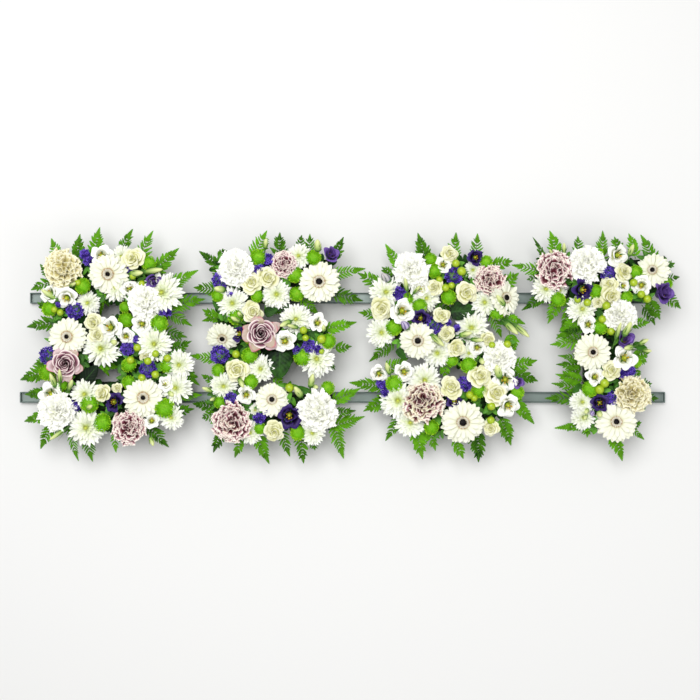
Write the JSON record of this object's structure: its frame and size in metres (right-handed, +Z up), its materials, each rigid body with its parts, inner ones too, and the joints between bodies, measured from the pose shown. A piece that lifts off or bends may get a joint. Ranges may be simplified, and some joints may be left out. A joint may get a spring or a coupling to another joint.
{
  "type": "funeral letter tribute",
  "caption": "Word of floral foam letters packed with white, mauve and violet blooms and ringed with fern, on slim grey rails.",
  "frame": {"origin": "middle of the lower rail's underside, on the surface that the tribute lies on", "axes": "+X along the rails in reading order, +Y up the letters, +Z up out of the flowers"},
  "size_m": [1.1556, 0.409, 0.0971],
  "materials": {
    "rail_metal": "satin",
    "backing_board": "matte",
    "floral_foam": "matte",
    "greenery": "satin",
    "white_petals": "matte",
    "mauve_petals": "matte",
    "cream_petals": "matte",
    "violet_petals": "matte"
  },
  "bodies": {
    "root": {"lower_rail": "rail_metal", "upper_rail": "rail_metal", "b_backing_board": "backing_board", "b_foam": "floral_foam", "b_greenery": "greenery", "b_white_top": "white_petals", "b_white_left": "white_petals", "b_white_waist": "white_petals", "b_white_right": "white_petals", "b_white_foot": "white_petals", "b_white_corner": "white_petals", "b_carnation_top": "mauve_petals", "b_carnation_foot": "mauve_petals", "b_rose": "mauve_petals", "b_cream_upper": "cream_petals", "b_cream_lower": "cream_petals", "b_violet": "violet_petals", "e_backing_board": "backing_board", "e_foam": "floral_foam", "e_greenery": "greenery", "e_white_corner": "white_petals", "e_white_right": "white_petals", "e_white_middle": "white_petals", "e_gerbera": "white_petals", "e_chrysanthemum": "white_petals", "e_white_lower": "white_petals", "e_white_foot": "white_petals", "e_carnation_top": "mauve_petals", "e_carnation_foot": "mauve_petals", "e_rose": "mauve_petals", "e_cream": "cream_petals", "e_violet": "violet_petals", "s_backing_board": "backing_board", "s_foam": "floral_foam", "s_greenery": "greenery", "s_white_upper": "white_petals", "s_white_right": "white_petals", "s_white_middle": "white_petals", "s_white_end": "white_petals", "s_gerbera": "white_petals", "s_white_lower": "white_petals", "s_carnation_top": "mauve_petals", "s_carnation_foot": "mauve_petals", "s_cream": "cream_petals", "s_violet_top": "violet_petals", "s_violet_foot": "violet_petals", "t_backing_board": "backing_board", "t_foam": "floral_foam", "t_greenery": "greenery", "t_carnation_left": "white_petals", "t_white_left": "white_petals", "t_white_right": "white_petals", "t_white_stem": "white_petals", "t_carnation_stem": "white_petals", "t_white_foot": "white_petals", "t_carnation_top": "mauve_petals", "t_carnation_foot": "mauve_petals", "t_cream": "cream_petals", "t_violet_left": "violet_petals", "t_violet_right": "violet_petals"}
  },
  "joints": []
}
